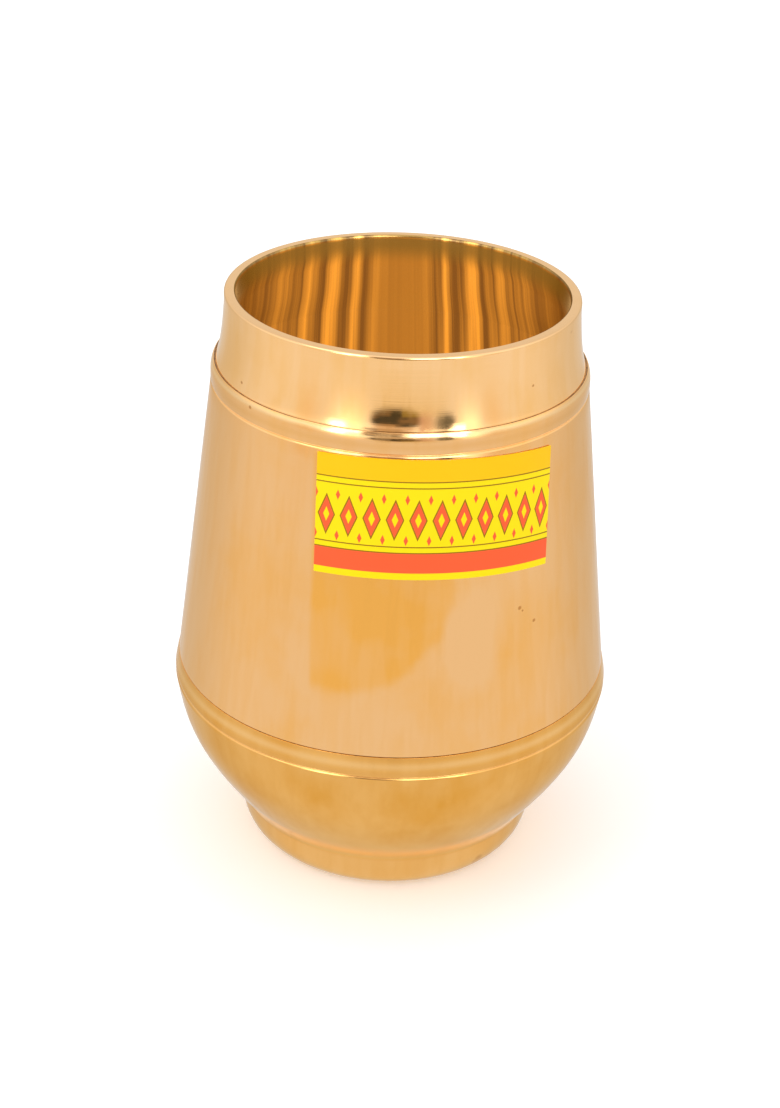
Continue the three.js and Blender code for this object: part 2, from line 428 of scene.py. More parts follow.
def painted_reflection_bands_group() -> bpy.types.NodeTree:
    """Makes the upright light and dark bands of painted reflection on the turned bore.

    The bands start beside a calm middle, stand clearest there, and fade towards the sides and down
    to the floor of the cup.

    Returns:
        A group that gives the bands as a mask, where 1 is dark.
    """
    inputs = {"Start": 8.1 * MM, "Pitch": 4.5 * MM, "Radius": 29.2 * MM, "Calm": 0.66,
              "Lean": 0.03, "Bend": 1.6, "Width": 0.6, "Grain": 1.1, "Calm grain": 0.25}
    tree, shader, given = new_group("painted_reflection_bands", inputs, "Band")
    way_out = shader.vector("NORMALIZE", shader.from_axis()).outputs[0]
    bearing = shader.add("ShaderNodeSeparateXYZ", {0: way_out}).outputs["X"]
    across = shader.math("MULTIPLY", bearing, given["Radius"])
    aside = shader.math("ABSOLUTE", across)
    leaning = shader.math("MULTIPLY_ADD", shader.along("Z"), given["Lean"], across)
    bend = shader.math("SUBTRACT", shader.noise_along(leaning, 130.0, 3.0, 0.55), 0.5)
    turns = shader.math("SUBTRACT", aside, given["Start"])
    turns = shader.math("DIVIDE", turns, given["Pitch"])
    bent = shader.math("MULTIPLY_ADD", bend, given["Bend"], turns)
    wave = shader.math("COSINE", shader.math("MULTIPLY", bent, math.tau))
    dark = shader.math("MULTIPLY_ADD", wave, -0.5, 0.5)
    dark = shader.math("POWER", dark, given["Width"])
    beside = shader.ramp(aside, low=2 * MM, high=9 * MM)
    standing = shader.ramp(shader.along("Z"), low=16 * MM, high=34 * MM)
    share = shader.math("MULTIPLY", beside, standing)
    fading = shader.ramp(aside, low=11 * MM, high=20 * MM, start=1.0, end=0.35)
    band = shader.between(shader.math("MULTIPLY", share, fading), given["Calm"], dark)
    grain = shader.math("SUBTRACT", shader.noise_along(leaning, 800.0, 3.0, 0.6), 0.5)
    calm_grain = shader.math("MULTIPLY", standing, given["Calm grain"])
    amount = shader.math("MULTIPLY_ADD", share, given["Grain"], calm_grain)
    grainy = shader.math("MULTIPLY_ADD", grain, amount, band, clamp=True)
    shader.add("NodeGroupOutput", {0: grainy})
    return tree


@dataclass(frozen=True)
class Effects:
    """The node groups that the finishes share."""

    lines: bpy.types.NodeTree = field(default_factory=turning_lines_group)
    streaks: bpy.types.NodeTree = field(default_factory=polish_streaks_group)
    tarnish: bpy.types.NodeTree = field(default_factory=tarnish_group)
    patch: bpy.types.NodeTree = field(default_factory=patch_group)
    bands: bpy.types.NodeTree = field(default_factory=painted_reflection_bands_group)


# Finishes


def new_material(name: str) -> tuple[bpy.types.Material, Shader]:
    """Starts an empty node material.

    Args:
        name: The material's name.

    Returns:
        The material and its shader helper.
    """
    material = bpy.data.materials.new(name)
    material.use_nodes = True
    return material, Shader(material.node_tree)


@dataclass(frozen=True)
class Patch:
    """A rounded patch on the front of the cup, in millimetres from the axis and the table."""

    x: float
    z: float
    width: float
    height: float
    softness: float
    strength: float = 1.0
    left_edge: float | None = None
    edge_half: float = 0.5

    def mask(self, shader: Shader, effects: Effects) -> bpy.types.NodeSocket:
        """Gives the patch as a mask.

        Args:
            shader: The material's shader helper.
            effects: The shared node groups.

        Returns:
            The mask, where 1 is inside the patch.
        """
        patch = shader.group(effects.patch, {
            "X": self.x * MM, "Z": self.z * MM, "Width": self.width * MM,
            "Height": self.height * MM, "Softness": self.softness,
        })
        if self.left_edge is not None:
            low, high = self.left_edge - self.edge_half, self.left_edge + self.edge_half
            kept = shader.ramp(shader.along("X"), low * MM, high * MM)
            patch = shader.math("MULTIPLY", patch, kept)
        return shader.math("MULTIPLY", patch, self.strength)


def speck(x: float, z: float, size: float, strength: float = 0.7) -> Patch:
    """Makes a small soft speck, a little taller than it is wide."""
    return Patch(x, z, size, size * 1.2, 0.5, strength)


@dataclass(frozen=True)
class PaintedLightRing:
    """A soft ring of painted light round the cup, a painted highlight where its colour is paler and
    painted shade where it is darker, in millimetres from the table.
    """

    z: float
    reach: float
    strength: float
    colour: Color

    def over(self, shader: Shader, colour: bpy.types.NodeSocket) -> bpy.types.NodeSocket:
        """Lays the ring over a colour.

        Args:
            shader: The material's shader helper.
            colour: The colour under the ring.

        Returns:
            The colour with the ring.
        """
        away = shader.math("SUBTRACT", shader.along("Z"), self.z * MM)
        away = shader.math("ABSOLUTE", away)
        share = shader.ramp(away, 0.0, self.reach * MM, start=self.strength, end=0.0)
        return shader.blend(share, colour, self.colour)


@dataclass(frozen=True)
class BronzeFinish:
    """Polished bronze, warmed by streaks, clouds and warm patches, with specks and turning lines, rings of
    painted highlight and painted shade, and painted light where it is seen in a reflection.

    Its warmth fades below the heights of pale_below, in millimetres, to pale_share of itself.
    """

    name: str
    bright: Color
    warm: Color
    spot: Color = tint(176, 112, 44)
    seen_again: Color = (0.95, 0.88, 0.77, 1.0)
    corner_glow: float = 0.0
    grazing: Color = (1.0, 0.93, 0.8, 1.0)
    streak_share: float = 0.3
    cloud_share: float = 0.4
    gloss_low: float = 0.1
    gloss_high: float = 0.2
    lines_per_metre: float = 2500.0
    line_height: float = 0.0006 * MM
    # Rounded warmer patches on the front of the cup; a negative strength makes a patch paler.
    warm_patches: tuple[Patch, ...] = ()
    specks: tuple[Patch, ...] = ()
    # Rings of painted highlight and painted shade.
    rings: tuple[PaintedLightRing, ...] = ()
    pale_below: tuple[float, float] | None = None
    pale_share: float = 0.5

    def warmth(self, shader: Shader, effects: Effects,
               streak: bpy.types.NodeSocket) -> bpy.types.NodeSocket:
        """Adds up the streaks, clouds and stains.

        Args:
            shader: The material's shader helper.
            effects: The shared node groups.
            streak: The mask of the streaks.

        Returns:
            The share of the warm colour.
        """
        clouds = shader.math("MULTIPLY", shader.group(effects.tarnish), self.cloud_share)
        share = shader.math("MULTIPLY_ADD", streak, self.streak_share, clouds)
        for warm_patch in self.warm_patches:
            share = shader.math("ADD", share, warm_patch.mask(shader, effects))
        if self.pale_below is not None:
            low, high = self.pale_below
            kept = shader.ramp(shader.along("Z"), low * MM, high * MM, start=self.pale_share)
            share = shader.math("MULTIPLY", share, kept)
        return shader.math("MINIMUM", share, 1.0)

    def build(self, effects: Effects) -> bpy.types.Material:
        """Builds the material.

        Args:
            effects: The shared node groups.

        Returns:
            The material.
        """
        material, shader = new_material(self.name)
        streak = shader.group(effects.streaks)
        lines = shader.group(effects.lines, {"Lines per metre": self.lines_per_metre})
        colour = shader.blend(self.warmth(shader, effects, streak), self.bright, self.warm)
        # Lays on the rings of painted highlight and painted shade.
        for ring in self.rings:
            colour = ring.over(shader, colour)
        for mark in self.specks:
            colour = shader.blend(mark.mask(shader, effects), colour, self.spot)
        # Where the bronze is seen in a reflection it takes the paler seen_again colour and glows by
        # corner_glow: painted light that lightens its creases, seams and turned lines.
        again = shader.mirrored()
        shader.principled({
            "Base Color": shader.blend(again, colour, self.seen_again), "Metallic": 1.0,
            "Roughness": shader.ramp(streak, 0.0, 1.0, self.gloss_low, self.gloss_high),
            "Normal": shader.bump(lines, self.line_height), "Specular Tint": self.grazing,
            "Emission Color": shader.blend(again, BLACK, self.bright),
            "Emission Strength": self.corner_glow,
        })
        return material


@dataclass(frozen=True)
class BoreFinish:
    """The inside of the cup, as turned, with a smeared gloss and its look painted: upright bands of
    painted reflection, painted shade at the sides and under the lip, and a painted glow where it is seen
    in a reflection.
    """

    name: str = "bronze_bore"
    # The first two colours paint the reflection bands; the side and under-lip colours are painted shade;
    # glow is painted light seen only in reflections.
    light: Color = tint(242, 196, 108)
    dark: Color = tint(130, 101, 64)
    side: Color = tint(134, 104, 72)
    side_shade_share: float = 0.6
    lip_shade_colour: Color = tint(132, 118, 74)
    lip_shade_share: float = 0.85
    grazing: Color = (0.5, 0.44, 0.38, 1.0)
    seen_again: Color = (0.3, 0.2, 0.1, 1.0)
    glow: Color = (1.0, 0.64, 0.25, 1.0)
    glow_strength: float = 0.85
    gloss: float = 0.24
    smear: float = 0.6
    lines_per_metre: float = 3200.0
    line_height: float = 0.0014 * MM

    def build(self, effects: Effects) -> bpy.types.Material:
        """Builds the material, which glows with painted light where one inside face is seen in another,
        standing for the light bounced between them.

        Args:
            effects: The shared node groups.

        Returns:
            The material.
        """
        material, shader = new_material(self.name)
        lines = shader.group(effects.lines, {"Lines per metre": self.lines_per_metre})
        # Painted reflection: light and dark upright bands.
        colour = shader.blend(shader.group(effects.bands), self.light, self.dark)
        # Painted shade towards the sides of the bore.
        aside = shader.math("ABSOLUTE", shader.along("X"))
        side = shader.ramp(aside, low=16 * MM, high=27 * MM, end=self.side_shade_share)
        colour = shader.blend(side, colour, self.side)
        # Painted shade in a band under the lip.
        height = shader.along("Z")
        high = shader.ramp(height, low=94.5 * MM, high=98.5 * MM, end=self.lip_shade_share)
        under = shader.ramp(height, low=99.2 * MM, high=99.7 * MM, start=1.0, end=0.0)
        colour = shader.blend(shader.math("MULTIPLY", high, under), colour, self.lip_shade_colour)
        # Seen in a reflection, the bore turns dark and glows: painted light for the light bounced between
        # the inside faces.
        again = shader.mirrored()
        grain = shader.add("ShaderNodeTangent", direction_type="RADIAL", axis="Z")
        shader.principled({
            "Base Color": shader.blend(again, colour, self.seen_again), "Metallic": 1.0,
            "Roughness": self.gloss, "Anisotropic": self.smear, "Anisotropic Rotation": 0.25,
            "Tangent": grain.outputs[0], "Normal": shader.bump(lines, self.line_height),
            "Specular Tint": self.grazing, "Emission Strength": self.glow_strength,
            "Emission Color": shader.blend(again, BLACK, self.glow),
        })
        return material


@dataclass(frozen=True)
class BrazeFinish:
    """The duller brazing alloy in the laps."""

    name: str = "braze_alloy"
    alloy: Color = tint(150, 104, 52)
    flux: Color = tint(92, 58, 30)
    gloss: float = 0.42
    grains_per_metre: float = 900.0
    grain_height: float = 0.02 * MM

    def build(self) -> bpy.types.Material:
        """Builds the material.

        Returns:
            The material.
        """
        material, shader = new_material(self.name)
        grain = shader.noise(shader.place(), self.grains_per_metre, 4.0, 0.6)
        colour = shader.blend(shader.ramp(grain, low=0.4, high=0.65), self.alloy, self.flux)
        shader.principled({
            "Base Color": colour, "Metallic": 1.0, "Roughness": self.gloss,
            "Normal": shader.bump(grain, self.grain_height),
        })
        return material


@dataclass(frozen=True)
class PrintFinish:
    """Coated paper printed with flat warm bands and a row of lozenges, read from the label's UVs.

    Heights are shares of the label's height, and the lozenges' sizes are shares of their pitch.
    """

    name: str = "label_print"
    amber: Color = tint(255, 200, 0)
    yellow: Color = tint(255, 228, 0)
    red: Color = tint(255, 98, 52)
    ochre: Color = tint(158, 112, 8)
    strip_top: float = 0.055
    field_low: float = 0.22
    field_high: float = 0.82
    line: float = 0.01
    line_feet: tuple[float, ...] = (0.22, 0.27, 0.76, 0.81)
    lozenges: float = 11.0
    squat: float = 2.3
    lozenge_sizes: tuple[float, float, float] = (0.4, 0.34, 0.14)
    dot_size: float = 0.1
    dot_rise: float = 0.17
    gloss: float = 0.42
    fibres_per_metre: float = 2600.0
    fibre_height: float = 0.006 * MM

    def band(self, shader: Shader, height: Feed, low: float, high: float) -> bpy.types.NodeSocket:
        """Gives a level band as a crisp mask.

        Args:
            shader: The material's shader helper.
            height: The height on the label, of 0 to 1.
            low: The band's lower edge.
            high: The band's upper edge.

        Returns:
            The mask, where 1 is inside the band.
        """
        over = shader.math("GREATER_THAN", height, low)
        under = shader.math("LESS_THAN", height, high)
        return shader.math("MULTIPLY", over, under)

    def lozenge(self, shader: Shader, across: Feed, height: Feed,
                size: float) -> bpy.types.NodeSocket:
        """Gives a row of upright lozenges as a crisp mask.

        Args:
            shader: The material's shader helper.
            across: The place along the label, of 0 to 1.
            height: The height on the label, of 0 to 1.
            size: Half a lozenge's width, as a share of the row's pitch.

        Returns:
            The mask, where 1 is inside a lozenge.
        """
        cell = shader.math("FRACT", shader.math("MULTIPLY", across, self.lozenges))
        aside = shader.math("ABSOLUTE", shader.math("SUBTRACT", cell, 0.5))
        rise = shader.math("ABSOLUTE", shader.math("SUBTRACT", height, 0.5))
        reach = shader.math("ADD", aside, shader.math("MULTIPLY", rise, self.squat))
        return shader.math("LESS_THAN", reach, size)

    def build(self) -> bpy.types.Material:
        """Builds the material.

        Returns:
            The material.
        """
        material, shader = new_material(self.name)
        flat = shader.add("ShaderNodeUVMap", uv_map="label")
        place = shader.add("ShaderNodeSeparateXYZ", {0: flat.outputs[0]})
        across, height = place.outputs["X"], place.outputs["Y"]
        amber = shader.math("GREATER_THAN", height, self.field_high)
        colour = shader.blend(amber, self.red, self.amber)
        field_band = self.band(shader, height, self.field_low, self.field_high)
        colour = shader.blend(field_band, colour, self.yellow)
        for size, ink in zip(self.lozenge_sizes, (self.ochre, self.red, self.yellow)):
            colour = shader.blend(self.lozenge(shader, across, height, size), colour, ink)
        beside = shader.math("ADD", across, 0.5 / self.lozenges)
        for offset in (-self.dot_rise, self.dot_rise):
            row = shader.math("ADD", height, offset)
            dots = self.lozenge(shader, beside, row, self.dot_size)
            colour = shader.blend(dots, colour, self.red)
        for foot in self.line_feet:
            line = self.band(shader, height, foot, foot + self.line)
            colour = shader.blend(line, colour, self.ochre)
        strip = shader.math("LESS_THAN", height, self.strip_top)
        colour = shader.blend(strip, colour, self.yellow)
        fibre = shader.noise(shader.place(), self.fibres_per_metre, 3.0)
        shader.principled({
            "Base Color": colour, "Roughness": self.gloss, "Specular IOR Level": 0.15,
            "Normal": shader.bump(fibre, self.fibre_height),
        })
        return material


@dataclass(frozen=True)
class GlueFinish:
    """The thin adhesive behind the label."""

    name: str = "label_glue"
    film: Color = tint(226, 214, 178)
    smears_per_metre: float = 700.0

    def build(self) -> bpy.types.Material:
        """Builds the material.

        Returns:
            The material.
        """
        material, shader = new_material(self.name)
        smear = shader.noise(shader.place(), self.smears_per_metre)
        gloss = shader.ramp(smear, low=0.3, high=0.7, start=0.35, end=0.6)
        shader.principled({"Base Color": self.film, "Roughness": gloss})
        return material


@dataclass(frozen=True)
class Finishes:
    """Every material of the tumbler, with those of the shells' outsides by their nodes."""

    outsides: dict[str, bpy.types.Material]
    bore: bpy.types.Material
    braze: bpy.types.Material
    label: bpy.types.Material
    glue: bpy.types.Material


def make_finishes() -> Finishes:
    """Builds every material of the tumbler.

    Returns:
        The materials.
    """
    effects = Effects()
    # The colour of the painted shade rings on the beads.
    shade = tint(218, 158, 88)
    foot = BronzeFinish(
        "bronze_foot", tint(233, 178, 106), tint(228, 166, 82), corner_glow=0.12,
        specks=(speck(16.6, 3.2, 0.6, 0.4), speck(15.8, 2.6, 0.4, 0.3)),
    )
    bowl = BronzeFinish(
        "bronze_bowl", tint(230, 174, 96), tint(220, 154, 56), streak_share=0.16, cloud_share=0.6,
        corner_glow=0.25, grazing=(1.0, 0.9, 0.72, 1.0),
        warm_patches=(Patch(-11.4, 26.6, 5, 3.2, 0.55, 0.3), Patch(9.4, 24, 6, 4, 0.6, 0.4)),
        # Painted highlight along the middle of the belly bead and painted shade at its edges, painted
        # shade on the turned line, and a painted highlight above the waist.
        rings=(PaintedLightRing(33.3, 1.0, 0.42, tint(248, 205, 144)), PaintedLightRing(31.9, 0.7, 0.3, shade),
               PaintedLightRing(34.7, 0.6, 0.3, shade), PaintedLightRing(31.2, 0.4, 0.6, tint(214, 168, 110)),
               PaintedLightRing(9.8, 2.4, 0.5, tint(250, 178, 96))),
        pale_below=(7, 13),
    )
    wall = BronzeFinish(
        "bronze_wall", tint(238, 187, 128), tint(238, 173, 82), streak_share=0.22,
        corner_glow=0.3,
        warm_patches=(Patch(-9.4, 64.9, 19.3, 19.5, 0.06, 0.6, -12.7),
                Patch(-9.7, 46.5, 4, 2.6, 0.6, 0.2, -12.7), Patch(-2.2, 59, 5, 4, 0.6, 0.25),
                Patch(13, 54, 4, 8, 0.5, -0.3), Patch(21, 51, 5, 9, 0.45, 0.3)),
        specks=(speck(20.1, 57.8, 0.26), speck(22.6, 54.8, 0.22), speck(20.6, 57.2, 0.14),
                speck(-23.0, 87.6, 0.2)),
        # Painted highlight on the top of the shoulder bead and painted shade below it.
        rings=(PaintedLightRing(88.0, 0.6, 0.5, tint(254, 222, 168)), PaintedLightRing(86.4, 1.0, 0.5, tint(230, 174, 104))),
    )
    neck = BronzeFinish(
        "bronze_neck", tint(250, 202, 144), tint(244, 186, 106), gloss_low=0.07, gloss_high=0.14,
        line_height=0.0045 * MM, streak_share=0.25,
        specks=(speck(-24.6, 90.0, 0.16), speck(20.3, 93.0, 0.15), speck(26.4, 98.2, 0.18)),
        # A ring of painted shade along the lip.
        rings=(PaintedLightRing(100, 0.5, 0.8, tint(226, 184, 136)),),
    )
    polished = {"foot_ring": foot, "bowl_shell": bowl, "body_shell": wall, "neck_collar": neck}
    return Finishes(
        outsides={node: finish.build(effects) for node, finish in polished.items()},
        bore=BoreFinish().build(effects), braze=BrazeFinish().build(),
        label=PrintFinish().build(), glue=GlueFinish().build(),
    )


# Pieces of the tumbler


def settle(piece: bpy.types.Object, node: str, slot: str, *materials: bpy.types.Material) -> None:
    """Gives a piece its materials and its place in the frame.

    Args:
        piece: The piece.
        node: The node of the frame that it stands for.
        slot: What it is made of; not used.
        materials: Its materials, in the order of its faces' numbers.
    """
    for material in materials:
        piece.data.materials.append(material)
    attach(piece, "root")
    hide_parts(node)


@dataclass(frozen=True)
class Seams:
    """Heights, outside radii and gaps where the pieces meet, in metres."""

    gap: float = 0.02 * MM
    film: float = 0.2 * MM
    waist_z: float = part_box("foot_ring")[1].z
    waist_radius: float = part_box("foot_ring")[1].x
    floor_z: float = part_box("bowl_shell")[0].z
    belly_z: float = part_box("bowl_shell")[1].z
    belly_radius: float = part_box("bowl_shell")[1].x
    wall_foot_radius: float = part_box("body_shell")[1].x
    wall_tongue_z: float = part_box("body_shell")[0].z
    shoulder_z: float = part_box("body_shell")[1].z
    shoulder_radius: float = 30.95 * MM
    neck_radius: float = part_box("neck_collar")[1].x
    neck_tongue_z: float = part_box("neck_collar")[0].z
    rim_z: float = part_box("neck_collar")[1].z
    foot_film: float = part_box("foot_braze")[1].x
    belly_film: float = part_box("belly_braze")[1].x
    shoulder_film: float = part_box("neck_braze")[1].x
    foot_ledge_z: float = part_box("foot_braze")[0].z
    belly_ledge_z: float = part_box("belly_braze")[0].z
    shoulder_ledge_z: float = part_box("neck_braze")[0].z


@dataclass(frozen=True)
class TurnedPart:
    """What every turned shell shares: its seams, its node, its wall, and the form of a bead."""

    seams: Seams
    node: str
    wall: float = 1.5 * MM
    land: float = 0.1 * MM
    line_depth: float = 0.3 * MM
    line_half: float = 0.35 * MM
    line_round: float = 0.4
    line_steps: int = 3
    bead_steps: int = 12

    def bead(self, outline: Outline, line: tuple[float, float], foot: float,
             pull: tuple[float, float], mouth: tuple[float, float]) -> None:
        """Draws a turned line and the bead over it.

        Args:
            outline: The outline to draw on, which ends just under the line.
            line: The outside radius at the turned line, and the height of its middle.
            foot: The height of the bead's upright foot.
            pull: The point that the bead's curve is pulled out towards.
            mouth: The radius and height of the mouth of the bead's socket.
        """
        radius, line_z = line
        foot_z = line_z + self.line_half
        bend = self.line_half * self.line_round
        bottom = (radius - self.line_depth, line_z)
        outline.curve(self.line_steps, (radius, line_z - bend), bottom)
        outline.curve(self.line_steps, (radius, line_z + bend), (radius, foot_z))
        outline.to(radius, foot_z + foot)
        outline.curve(self.bead_steps, pull, (mouth[0] + self.land, mouth[1])).to(*mouth)

    def dress(self, piece: bpy.types.Object, finishes: Finishes) -> None:
        """Polishes the shell's outside and leaves its inside as turned."""
        settle(piece, self.node, "bronze", finishes.outsides[self.node], finishes.bore)


@dataclass(frozen=True)
class Foot(TurnedPart):
    """The foot ring, with a rounded side, a flat rim and the socket for the bowl's spigot."""

    node: str = "foot_ring"
    rim_radius: float = 22.5 * MM
    thickness: float = 1.8 * MM
    collar_height: float = 1.8 * MM
    collar_lean: float = 0.1 * MM
    seat: float = 1.4 * MM
    side_pull: tuple[float, float] = (0.125, 0.25)
    side_steps: int = 20

    def build(self) -> bpy.types.Object:
        """Turns the foot ring.

        Returns:
            The piece.
        """
        seams = self.seams
        socket = seams.foot_film + seams.gap
        ledge = seams.foot_ledge_z - seams.gap
        side = seams.waist_radius - self.collar_lean
        round_top = seams.waist_z - self.collar_height
        back, up = self.side_pull
        pull = (side - (side - self.rim_radius) * back, round_top * up)
        outside = Outline(self.rim_radius, 0.0).curve(self.side_steps, pull, (side, round_top))
        inner = [at for at in inset(outside.points, self.thickness) if 0 < at.z < ledge]
        outside.to(seams.waist_radius, seams.waist_z).to(socket, seams.waist_z)
        outside.to(socket, ledge).to(socket - self.seat, ledge)
        outside.through(inner[::-1]).to(self.rim_radius - self.thickness, 0.0)
        return turned("foot", outside)


@dataclass(frozen=True)
class Bowl(TurnedPart):
    """The round bowl, with a spigot below, the belly bead above and the cup's floor inside."""

    node: str = "bowl_shell"
    spigot_corner: float = 0.5 * MM
    spigot_margin: float = 0.2 * MM
    floor_thickness: float = 1.5 * MM
    fillet_height: float = 2.2 * MM
    fillet_reach: float = 1.3 * MM
    fillet_bend: tuple[float, float] = (1 / 7, 1.5 * MM)
    fillet_steps: int = 8
    side_pulls: tuple[tuple[float, float], ...] = ((0.82, 0.5), (0.88, 0.66))
    side_steps: int = 36
    bead_height: float = 3.55 * MM
    bead_foot: float = 0.3 * MM
    bead_pull: float = 1.9 * MM
    bead_taper: float = 0.15 * MM
    corner_height: float = 5 * MM
    corner_lean: float = 3 * MM
    corner_reach: float = 8 * MM
    corner_steps: int = 14

    def outside(self) -> Outline:
        """Draws the bowl's outside, from the waist seam up to the turned line.

        Returns:
            The open outline.
        """
        seams = self.seams
        fillet = (seams.waist_radius + self.fillet_reach, seams.waist_z + self.fillet_height)
        out, down = self.fillet_bend
        bend = (seams.waist_radius + self.fillet_reach * out, fillet[1] - down)
        line = seams.belly_z - self.bead_height
        reach, rise = seams.belly_radius - fillet[0], line - fillet[1]
        pulls = [(fillet[0] + reach * out, fillet[1] + rise * up) for out, up in self.side_pulls]
        outline = Outline(seams.waist_radius, seams.waist_z + seams.gap)
        outline.curve(self.fillet_steps, bend, fillet)
        outline.curve(self.side_steps, *pulls, (seams.belly_radius, line - self.line_half))
        return outline

    def build(self) -> bpy.types.Object:
        """Turns the bowl.

        Returns:
            The piece.
        """
        seams = self.seams
        outside = self.outside().points
        floor_top = seams.floor_z + self.floor_thickness
        ledge = seams.belly_ledge_z - seams.gap
        low = floor_top + self.corner_height
        inner = [at for at in inset(outside, self.wall) if low < at.z < ledge]
        spigot = seams.foot_film - seams.film - seams.gap
        socket = seams.belly_film + seams.gap
        outline = Outline(0.0, seams.floor_z)
        outline.to(spigot - self.spigot_corner, seams.floor_z)
        outline.to(spigot, seams.floor_z + self.spigot_corner)
        outline.to(spigot, seams.waist_z + seams.gap).through(outside)
        self.bead(
            outline, (seams.belly_radius, seams.belly_z - self.bead_height), self.bead_foot,
            (seams.belly_radius - self.bead_taper, seams.belly_z - self.bead_pull),
            (socket, seams.belly_z),
        )
        outline.to(socket, ledge).to(seams.belly_radius - self.wall, ledge).through(inner[::-1])
        edge = inner[0].x
        corner = (edge - self.corner_lean, floor_top)
        outline.curve(self.corner_steps, corner, (edge - self.corner_reach, floor_top))
        outline.to(0.0, floor_top)
        return turned("bowl", outline, seams.waist_z - self.spigot_margin)


@dataclass(frozen=True)
class Wall(TurnedPart):
    """The conical wall, with a tongue below and the shoulder bead above."""

    node: str = "body_shell"
    chamfer: float = 0.15 * MM
    side_steps: int = 24
    bead_height: float = 3.55 * MM
    bead_foot: float = 1.4 * MM
    bead_pull: float = 0.75 * MM

    @property
    def foot(self) -> tuple[float, float]:
        """The radius and height where the wall leaves its chamfer over the belly seam."""
        seams = self.seams
        return seams.wall_foot_radius, seams.belly_z + seams.gap + self.chamfer

    @property
    def top(self) -> tuple[float, float]:
        """The radius and height where the wall meets the shoulder's turned line."""
        return self.seams.shoulder_radius, self.seams.shoulder_z - self.bead_height

    @property
    def slope(self) -> float:
        """How much the wall's radius shrinks for each metre of height."""
        foot, top = self.foot, self.top
        return (foot[0] - top[0]) / (top[1] - foot[1])

    def build(self) -> bpy.types.Object:
        """Turns the wall.

        Returns:
            The piece.
        """
        seams = self.seams
        seat = seams.belly_z + seams.gap
        tongue = seams.belly_film - seams.film - seams.gap
        tongue_inner = seams.belly_radius - self.wall
        ledge = seams.shoulder_ledge_z - seams.gap
        across = self.wall / math.cos(math.atan(self.slope))
        socket = seams.shoulder_film + seams.gap
        outline = Outline(tongue_inner, seams.wall_tongue_z)
        outline.to(tongue, seams.wall_tongue_z).to(tongue, seat)
        outline.to(self.foot[0] - self.chamfer, seat).to(*self.foot)
        start = outline.points[-1]
        rise = self.line_half
        end = Vector((self.top[0] + self.slope * rise, 0, self.top[1] - rise))
        steps = range(1, self.side_steps + 1)
        outline.through([start.lerp(end, step / self.side_steps) for step in steps])
        self.bead(
            outline, self.top, self.bead_foot,
            (seams.shoulder_radius, seams.shoulder_z - self.bead_pull), (socket, seams.shoulder_z),
        )
        outline.to(socket, ledge).to(seams.shoulder_radius - self.wall, ledge)
        outline.to(self.foot[0] - across, seat)
        return turned("wall", outline)


@dataclass(frozen=True)
class Neck(TurnedPart):
    """The neck, which leans in from the shoulder's seam to a thick rounded lip."""

    node: str = "neck_collar"
    mouth_radius: float = 28.7 * MM
    lip_thickness: float = 1.9 * MM
    lip_round: float = 0.5 * MM
    lip_band: float = 1.6 * MM
    lip_steps: int = 8
    bore_depth: float = 3.3 * MM
    flare_bend: float = 2.6 * MM
    flare_lean: float = 1.05 * MM
    flare_steps: int = 28

    def build(self) -> bpy.types.Object:
        """Turns the neck.

        Returns:
            The piece.
        """
        seams = self.seams
        rim = seams.rim_z
        mouth = self.mouth_radius
        bore = mouth - self.lip_thickness
        bore_foot = rim - self.bore_depth
        bend = (seams.neck_radius - self.flare_lean, seams.shoulder_z + self.flare_bend)
        flare = Outline(seams.neck_radius, seams.shoulder_z)
        flare.curve(self.flare_steps, bend, (mouth, rim - self.lip_band))
        low, high = seams.shoulder_z, bore_foot - self.lip_thickness
        inner = [at for at in inset(flare.points, self.wall) if low < at.z < high]
        outline = Outline(seams.shoulder_radius - self.wall, seams.neck_tongue_z)
        outline.to(seams.neck_radius, seams.neck_tongue_z).through(flare.points)
        outline.to(mouth, rim - self.lip_round)
        outline.curve(self.lip_steps, (mouth, rim), (mouth - self.lip_round, rim))
        outline.to(bore + self.lip_round, rim)
        outline.curve(self.lip_steps, (bore, rim), (bore, rim - self.lip_round))
        outline.to(bore, bore_foot).through(inner[::-1])
        return turned("neck", outline)


@dataclass(frozen=True)
class BrazeFilm:
    """The film of braze in one lap: a flange inwards, and a leg up from its outer edge."""

    node: str
    inner: float
    thickness: float
    spread: float = 0.017 * MM

    def build(self) -> bpy.types.Object:
        """Turns the film, with its flange spread a little to close the hairline inside the cup.

        Returns:
            The piece.
        """
        low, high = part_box(self.node)
        under, over = low.z - self.spread, low.z + self.thickness + self.spread
        leg = high.x - self.thickness
        outline = Outline(self.inner, under).to(high.x, under).to(high.x, high.z)
        outline.to(leg, high.z).to(leg, over).to(self.inner, over)
        return turned(self.node.replace("braze", "film"), outline)

    def dress(self, piece: bpy.types.Object, finishes: Finishes) -> None:
        """Gives the film its dull alloy, and turns it with the bore where it shows inside."""
        settle(piece, self.node, "braze", finishes.braze, finishes.bore)


def braze_films(seams: Seams) -> list[BrazeFilm]:
    """Lists the three films of braze.

    Args:
        seams: The seams of the frame.

    Returns:
        The films, from the foot up.
    """
    foot, bowl, wall = Foot(seams), Bowl(seams), Wall(seams)
    flanges = {
        "foot_braze": seams.foot_film + seams.gap - foot.seat,
        "belly_braze": seams.belly_radius - bowl.wall,
        "neck_braze": seams.shoulder_radius - wall.wall,
    }
    return [BrazeFilm(node, inner, seams.film) for node, inner in flanges.items()]


